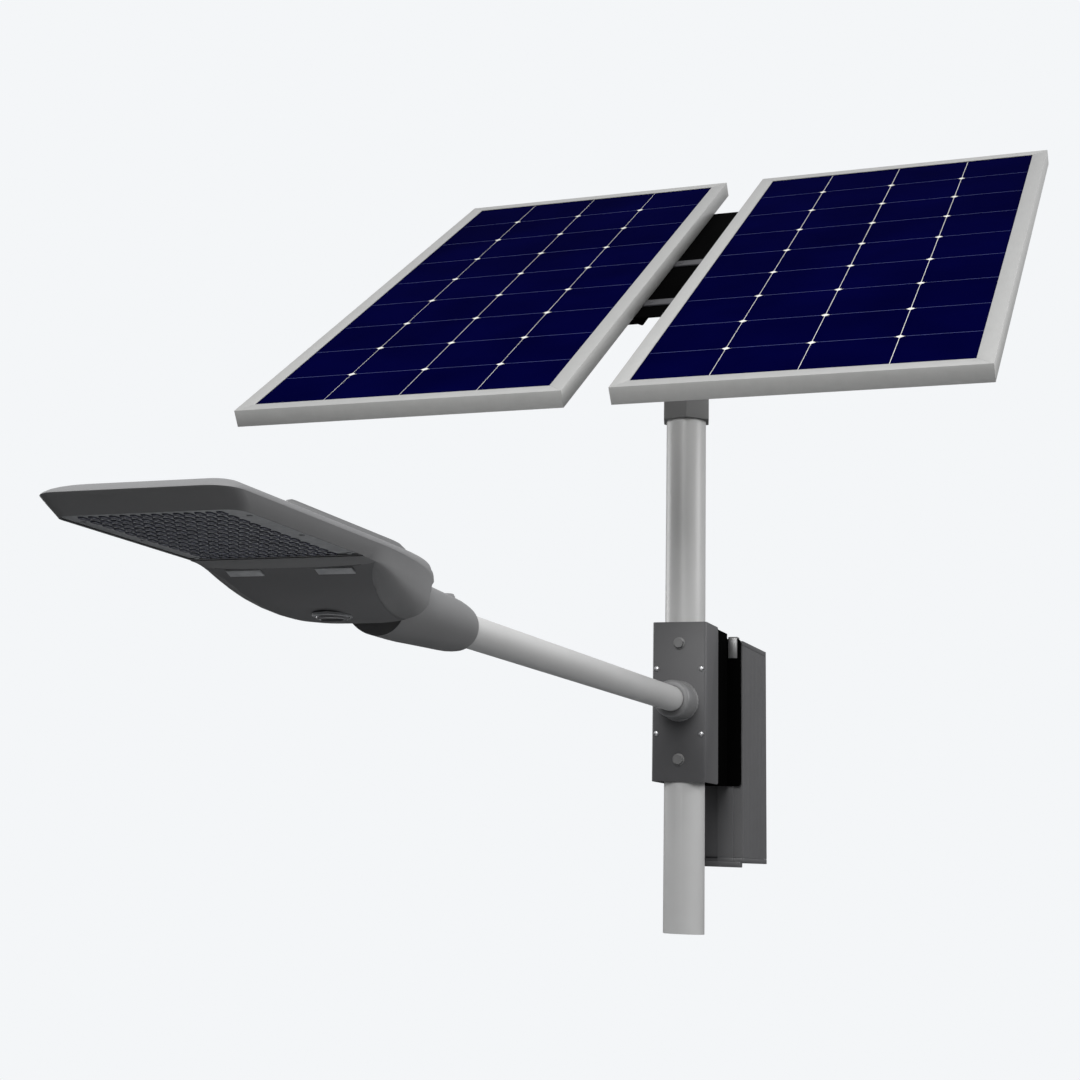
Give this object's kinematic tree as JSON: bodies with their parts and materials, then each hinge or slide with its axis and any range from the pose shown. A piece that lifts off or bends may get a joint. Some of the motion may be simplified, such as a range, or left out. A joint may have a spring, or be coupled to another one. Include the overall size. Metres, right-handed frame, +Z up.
{
  "type": "solar street lamp",
  "caption": "Twin tilting solar panels on a pole top above a horizontal arm with a tilting LED lamp head and a battery box clamped behind the pole",
  "frame": {"origin": "Centre of the pole section's lower end", "axes": "+Z up along the pole; -Y the way the lamp arm points; +X to the right of someone who faces the lamp"},
  "size_m": [1.43, 2.7474, 1.7838],
  "materials": {
    "pole_paint": "semi-gloss powder coat",
    "charcoal_paint": "satin powder coat",
    "black_paint": "satin powder coat",
    "zinc_steel": "zinc plated",
    "panel_aluminium": "clear anodised",
    "solar_glass": "tempered, over dark blue cells",
    "black_plastic": "fine texture",
    "lamp_casting": "painted die casting",
    "lens_plastic": "clear polycarbonate",
    "circuit_board": "white solder mask",
    "seal_rubber": "matt"
  },
  "bodies": {
    "root": {"pole": "pole_paint", "lamp_arm": "pole_paint", "arm_bracket": "charcoal_paint", "battery_case": "charcoal_paint", "battery_cap_top": "charcoal_paint", "battery_cap_bottom": "charcoal_paint", "rear_clamp": "black_paint", "battery_back_plate": "black_paint", "through_bolt_upper": "zinc_steel", "through_bolt_lower": "zinc_steel", "through_nut_upper": "zinc_steel", "through_nut_lower": "zinc_steel", "bracket_screw_top_left": "zinc_steel", "bracket_screw_top_right": "zinc_steel", "bracket_screw_bottom_left": "zinc_steel", "bracket_screw_bottom_right": "zinc_steel", "box_hook_left": "zinc_steel", "box_hook_right": "zinc_steel", "sleeve_clamp_screw": "zinc_steel", "lamp_pivot_bolt": "zinc_steel", "charge_controller": "panel_aluminium", "cable_gland_1": "black_plastic", "cable_gland_2": "black_plastic", "battery_pack": "black_plastic", "spigot_sleeve": "lamp_casting", "arm_socket": "lamp_casting"},
    "panel_mount": {"pole_collar": "charcoal_paint", "collar_set_screw_1": "zinc_steel", "collar_set_screw_2": "zinc_steel", "tilt_yoke": "charcoal_paint", "tilt_pivot_bolt": "zinc_steel", "tilt_pivot_nut": "zinc_steel"},
    "panel_array": {"carrier_spine": "black_paint", "spine_strap_1": "zinc_steel", "spine_strap_2": "zinc_steel", "panel_frame_left": "panel_aluminium", "panel_frame_right": "panel_aluminium", "panel_laminate_left": "solar_glass", "panel_laminate_right": "solar_glass", "junction_box_left": "black_plastic", "junction_box_right": "black_plastic", "panel_rail_left_1": "black_paint", "panel_rail_left_2": "black_paint", "panel_rail_left_3": "black_paint", "panel_rail_right_1": "black_paint", "panel_rail_right_2": "black_paint", "panel_rail_right_3": "black_paint"},
    "lamp": {"lamp_housing": "lamp_casting", "led_board": "circuit_board", "lens_gasket": "seal_rubber", "lens_plate": "lens_plastic", "led_driver": "panel_aluminium", "terminal_block": "black_plastic", "cover_hinge_pin": "zinc_steel"},
    "cover": {"driver_cover": "charcoal_paint"},
    "latch": {"cover_latch": "black_plastic"}
  },
  "joints": [
    {"name": "panel_azimuth", "type": "hinge", "parent": "root", "child": "panel_mount", "pos_m": [0, 0, 1.135], "axis": [0, 0, 1], "range_deg": [-90, 90]},
    {"name": "panel_tilt", "type": "hinge", "parent": "panel_mount", "child": "panel_array", "pos_m": [0, 0, 1.305], "axis": [1, 0, 0], "range_deg": [-24, 21]},
    {"name": "lamp_tilt", "type": "hinge", "parent": "root", "child": "lamp", "pos_m": [0, -1.54, 0.47], "axis": [1, 0, 0], "range_deg": [-10, 10]},
    {"name": "cover_hinge", "type": "hinge", "parent": "lamp", "child": "cover", "pos_m": [0, -1.806, 0.472], "axis": [1, 0, 0], "range_deg": [-80, 0]},
    {"name": "latch_turn", "type": "hinge", "parent": "cover", "child": "latch", "pos_m": [0, -1.69, 0.42], "axis": [0, 0, 1], "range_deg": [0, 90]}
  ]
}
